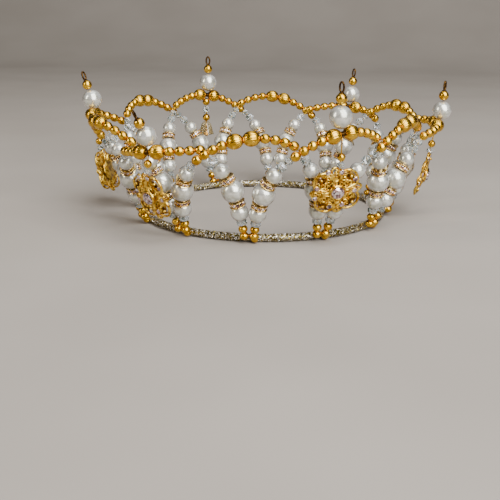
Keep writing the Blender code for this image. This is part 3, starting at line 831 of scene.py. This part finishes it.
# the drawn outline is stretched to the plate's
stretch = np.array([[flower["width"] / flower["drawnWidth"], flower["height"] / flower["drawnHeight"], 1.0]])
for bay, row in enumerate(bays):
    if row["hangs"] != "flower":
        continue
    middle, upward, facing = flowerPlace(bay)
    axes = np.stack([np.cross(upward, facing), upward, facing], -1)[None]
    back = middle - facing * flower["seat"]
    name = f"flower_{bay + 1:02d}"
    makePiece("filigree_" + name, placed(metalFlower, back, axes, stretch), filigree, [name])
    # the ground takes the painted shade of the hollows under the scrolls, while the backs of the plates stay
    # gold
    makePiece("ground_" + name, placed(groundFlower, back, axes, stretch), hollowShade)
    makePiece("stones_" + name, placed(stoneFlower, back, axes, stretch), stone, isSmooth=False)
    # a gold bead over a crystal, up to the crest
    top = middle + upward * (flower["height"] / 2.0 - hanger["inside"])
    end = crest(bay)[0] - up * hanger["below"]
    along = unit(end - top)
    axes = axesAlong(along, facing)
    crystals.append(placed(spareCut, top + along * hanger["crystalAt"], axes, hanger["crystalSize"]))
    footGolds.append(placed(beadShapes["small"], top + along * hanger["beadAt"], axes, hanger["bead"]))
    line = np.linspace(top - along * hanger["wireBelow"], end, 6)
    wires.append(tube(line, wire["hang"], wire["sides"], facing))
print("flowers made")


# The bell drops

drop = {"bead": 4.4, "crystal": 5.0, "bell": 9.2, "height": 9.0, "lobes": 6, "lobeDepth": 0.03,
        "clapper": 3.6, "wireAbove": 2.0, "wireEnd": 3.0}
# outer wall down to a flared lip, over it and up the inner wall, as shares of half width and height
bellSection = np.array([(0, 1.0), (0.34, 0.97), (0.62, 0.80), (0.72, 0.62), (0.80, 0.42), (0.93, 0.2),
                        (0.97, 0.14), (0.90, 0.15), (0.72, 0.42), (0.5, 0.7), (0, 0.82)])
bell = turned(bellSection * [drop["bell"] / 2.0, drop["height"]], 36, drop["lobes"], drop["lobeDepth"])
for bay, row in enumerate(bays):
    if row["hangs"] != "bell":
        continue
    number = f"{bay + 1:02d}"
    first = inNotch(bay, drop["bead"], -up)
    step = up * (drop["bead"] + drop["crystal"]) / 2.0
    crystals.append(placed(topCut, first - step))
    footGolds.append(placed(beadShapes["small"], [first, first - 2.0 * step], standing, drop["bead"]))
    bottom = first - 2.0 * step - up * (drop["bead"] / 2.0 + drop["height"])
    makePiece(f"bell_{number}", placed(bell, bottom), champagne, [f"bell_drop_{number}"])
    clapper = bottom + up * drop["clapper"] / 2.0
    footGolds.append(placed(beadShapes["small"], clapper, standing, drop["clapper"]))
    line = np.linspace(first + up * drop["wireAbove"], bottom + up * drop["wireEnd"], 8)
    wires.append(tube(line, wire["hang"], wire["sides"], np.array([1.0, 0.0, 0.0])))
print("bells made")


# What is threaded all round the crown, one piece for each kind

makePiece("rondelle_rims", joined(rims), paleGold)
makePiece("rondelle_stones", joined(stones), stone, isSmooth=False)
makePiece("cut_crystals", joined(crystals), crystal, isSmooth=False)
makePiece("foot_gold_beads", joined(footGolds), gold)
makePiece("finial_gold_beads", joined(finialGolds), gold)
makePiece("crest_coils", joined(coils), darkWire)
makePiece("crown_wires", joined(wires), gold)
print("small pieces made")


# The ring

ring = {"steps": 900, "sides": 20, "inner": 1.66, "relief": 0.30, "plaits": 110, "yarns": 3}
glitter = {"flakes": 7000, "size": 0.42, "smallest": 0.6, "sink": 0.02, "tilt": 0.45}


def ringRadius(around, section):
    # yarns that cross: inner + relief * max(cos(yarns * s + plaits * a), cos(yarns * s - plaits * a), 0)
    first = np.cos(ring["yarns"] * section + ring["plaits"] * around)
    second = np.cos(ring["yarns"] * section - ring["plaits"] * around)
    return ring["inner"] + ring["relief"] * np.maximum(first, second).clip(0.0, 1.0)


def ringPoint(around, section, radius):
    # a section circle carried round the crown's axis
    return onCrown(np.degrees(around), crown["ringRadius"] + radius * np.cos(section),
                   crown["ringThickness"] / 2.0 + radius * np.sin(section))


around, section = np.meshgrid(circle(ring["steps"]), circle(ring["sides"]), indexing="ij")
corners = ringPoint(around, section, ringRadius(around, section)).reshape(-1, 3)
braidShape = (corners, gridQuads(ring["steps"], ring["sides"], True), noTriangles)
makePiece("braid_ring", braidShape, braid, ["base_ring"])

# low three-sided flakes of film lie on the yarns at every angle, none on the ring's underside
around = rng.uniform(0.0, 2.0 * math.pi, glitter["flakes"])
section = rng.uniform(-0.25 * math.pi, 1.25 * math.pi, glitter["flakes"])
places = ringPoint(around, section, ringRadius(around, section) - glitter["sink"])
flake = (np.array([[1.0, 0, 0], [-0.5, 0.86, 0], [-0.5, -0.86, 0], [0, 0, 0.3]]) * glitter["size"],
         noQuads, np.array([[0, 2, 1], [0, 1, 3], [1, 2, 3], [2, 0, 3]]))
outer = unit(places - ringPoint(around, section, 0.0))
tilt = unit(outer + rng.normal(0.0, glitter["tilt"], places.shape))
sizes = rng.uniform(glitter["smallest"], 1.0, glitter["flakes"])
flakes = placed(flake, places, axesAlong(tilt, np.cross(tilt, up) + 0.01), sizes)
makePiece("braid_glitter", flakes, film, isSmooth=False)
print("ring made")


# Floor and backdrop: one pale sheet of paper that curves up behind the crown

sweep = {"width": 2200.0, "front": 850.0, "back": 900.0, "curve": 500.0, "rise": 1600.0}
paper, tree, shader = newMaterial("pale_studio_paper", {"Roughness": 0.85})
noisyColour(tree, shader, "#90877B", "#968D81", 120.0)
# the sheet's section in Y and Z: flat, a quarter circle, then straight up
turn = np.linspace(0.0, math.pi / 2.0, 24)
bend = np.stack([sweep["back"] + sweep["curve"] * np.sin(turn), sweep["curve"] * (1.0 - np.cos(turn))], -1)
line = np.concatenate([[[-sweep["front"], 0.0]], bend, [[sweep["back"] + sweep["curve"], sweep["rise"]]]])
corners = np.concatenate([np.column_stack([np.full(len(line), side * sweep["width"] / 2.0), line])
                          for side in (-1, 1)])
i = np.arange(len(line) - 1)
quads = np.stack([i, i + len(line), i + len(line) + 1, i + 1], -1)
sheet = addObject("studio_paper", makeMesh("studio_paper", (corners, quads, noTriangles), True))
sheet.data.materials.append(paper)


def stand(thing, axes, place):
    # an object with these axes as columns, at a place in metres
    matrix = np.eye(4)
    matrix[:3, :3], matrix[:3, 3] = axes, place
    thing.matrix_world = Matrix(matrix.tolist())


# Camera: where it stands from the crown's middle, and how far its axis is turned from there

view = {"azimuth": 5.339, "elevation": 9.421, "distance": 474.26, "target": 35.0, "yaw": -0.8,
        "pitch": 6.628, "roll": 0.349, "lens": 64.48, "sensor": 36.0, "nearest": 0.01, "furthest": 20.0}


def makeCamera():
    target = up * view["target"]
    away = outwards(view["azimuth"], view["elevation"])
    yaw, pitch, roll = (math.radians(view[key]) for key in ("yaw", "pitch", "roll"))
    right = unit(np.cross(-away, up))
    forward = right * math.sin(yaw) - away * math.cos(yaw)
    right = unit(np.cross(forward, up))
    above = np.cross(right, forward)
    forward = forward * math.cos(pitch) - above * math.sin(pitch)
    above = np.cross(right, forward)
    across = right * math.cos(roll) + above * math.sin(roll)
    above = above * math.cos(roll) - right * math.sin(roll)
    data = bpy.data.cameras.new("photo_camera")
    data.lens, data.sensor_width = view["lens"], view["sensor"]
    data.clip_start, data.clip_end = view["nearest"], view["furthest"]
    camera = addObject("photo_camera", data)
    stand(camera, np.stack([across, above, -forward], -1), (target + away * view["distance"]) * mm)
    bpy.context.scene.camera = camera


makeCamera()


# Lights: a large cool window at the upper right gives most of the light, a small warm one at the left
# and a soft one overhead lighten the shaded sides

def areaLight(name, place, size, power, colour):
    # a rectangle in metres that faces a point 0.04 m over the floor at the crown's middle
    data = bpy.data.lights.new(name, "AREA")
    data.shape = "RECTANGLE"
    data.size, data.size_y = size
    data.energy = power
    data.color = linear(colour)[:3]
    axes = axesAlong(np.array(place) - up * 0.04, 0.001 - up)[0]
    stand(addObject(name, data), axes, place)


areaLight("window_right", (0.5, -0.7, 0.8), (1.6, 1.0), 52.0, "#F3F7FF")
areaLight("window_left", (-0.9, -0.5, 0.5), (0.6, 0.2), 5.0, "#FFF6EC")
areaLight("soft_overhead", (0.0, 0.3, 1.2), (0.8, 0.8), 4.0, "#FFFFFF")

# past the paper's edge the room shows as a pale wall, but it gives the crown only dim light
world = bpy.data.worlds.new("studio")
bpy.context.scene.world = world
world.use_nodes = True
room = world.node_tree
dim = addNode(room, "ShaderNodeBackground", {"Color": linear("#6E665E"), "Strength": 0.2})
wall = addNode(room, "ShaderNodeBackground", {"Color": linear("#A39D96"), "Strength": 1.0})
seen = addNode(room, "ShaderNodeLightPath").outputs["Is Camera Ray"]
links = {0: seen, 1: dim.outputs["Background"], 2: wall.outputs["Background"]}
mix = addNode(room, "ShaderNodeMixShader", {}, links)
room.links.new(mix.outputs["Shader"], room.nodes["World Output"].inputs["Surface"])
print("lights and camera set")
